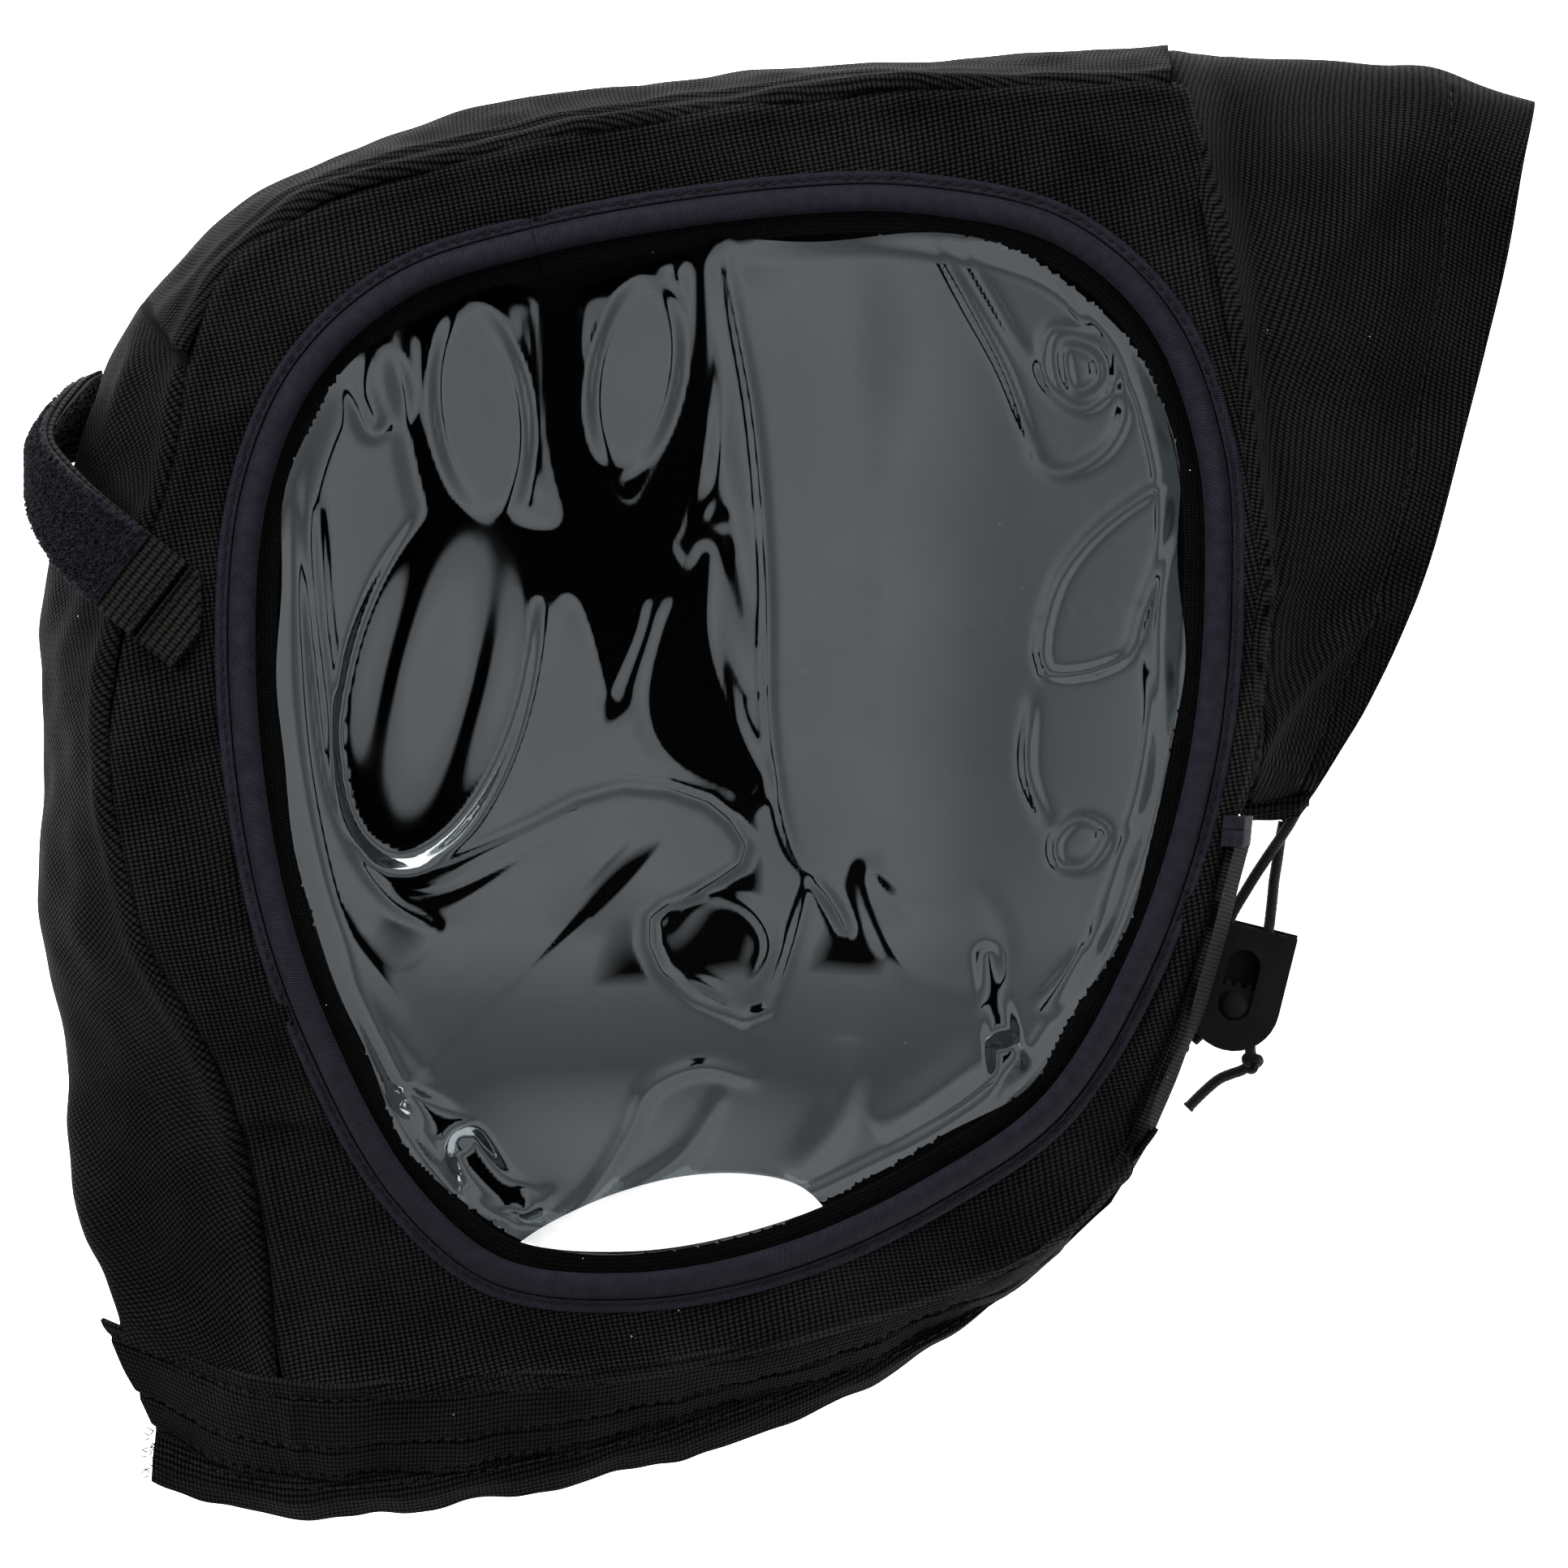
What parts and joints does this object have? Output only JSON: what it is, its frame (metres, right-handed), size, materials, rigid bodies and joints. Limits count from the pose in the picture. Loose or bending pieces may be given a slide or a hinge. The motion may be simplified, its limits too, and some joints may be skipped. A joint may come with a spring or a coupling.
{
  "type": "smoke hood",
  "caption": "Soft woven hood lying on its back, with a sewn clear window, a cinched side sleeve with a drawcord and cord lock, a hook-and-loop strap and an open neck edge",
  "frame": {"origin": "middle of the object's footprint, on the surface that it lies on", "axes": "+Z out through the window, +X towards the side sleeve, +Y towards the crown"},
  "size_m": [0.3311, 0.322, 0.0541],
  "materials": {
    "shell_fabric": "black coarse plain-weave synthetic",
    "binding_tape": "violet-black ribbed binding tape",
    "clear_vinyl": "clear glossy wrinkled vinyl sheet",
    "seam_allowance": "dusty black seam allowance",
    "webbing": "ribbed black webbing",
    "loop_pile": "fuzzy loop pile",
    "hook_tape": "bristly hook tape",
    "cord": "fine braided black cord",
    "lock_plastic": "matte moulded black plastic"
  },
  "bodies": {
    "hood": {"back_panel": "shell_fabric", "neck_arch_hem": "shell_fabric", "crown_gusset": "shell_fabric", "cheek_gusset": "shell_fabric", "side_gusset": "shell_fabric", "front_panel": "shell_fabric", "hem_casing": "shell_fabric", "hem_edge_fold": "shell_fabric", "window_flange": "binding_tape", "window_binding": "binding_tape", "window_pane": "clear_vinyl", "window_seam_allowance": "seam_allowance", "sleeve_front": "shell_fabric", "sleeve_back": "shell_fabric", "mouth_casing_front": "shell_fabric", "mouth_casing_back": "shell_fabric", "sleeve_end_hem": "shell_fabric", "side_tab": "binding_tape", "strap_anchor_patch": "webbing", "drawcord_in_casing": "cord", "drawcord_left": "cord", "drawcord_right": "cord", "drawcord_tail": "cord", "drawcord_knot_left": "cord", "drawcord_knot_right": "cord"},
    "strap": {"strap_webbing": "webbing", "strap_loop_tape": "loop_pile", "strap_hook_tape": "hook_tape"},
    "cord_lock": {"lock_rear_shell": "lock_plastic", "lock_front_shell": "lock_plastic"},
    "slider": {"lock_slider": "lock_plastic", "lock_button": "lock_plastic"}
  },
  "joints": [
    {"name": "strap_lift", "type": "hinge", "parent": "hood", "child": "strap", "pos_m": [-0.135, 0.0405, 0.0519], "axis": [0.6157, 0.788, 0], "range_deg": [0, 95]},
    {"name": "lock_along_cord", "type": "slide", "parent": "hood", "child": "cord_lock", "axis": [0.2419, 0.9703, 0], "range_m": [0, 0.013]},
    {"name": "button_slide", "type": "slide", "parent": "cord_lock", "child": "slider", "axis": [0.2419, 0.9703, 0], "range_m": [0, 0.009]}
  ]
}
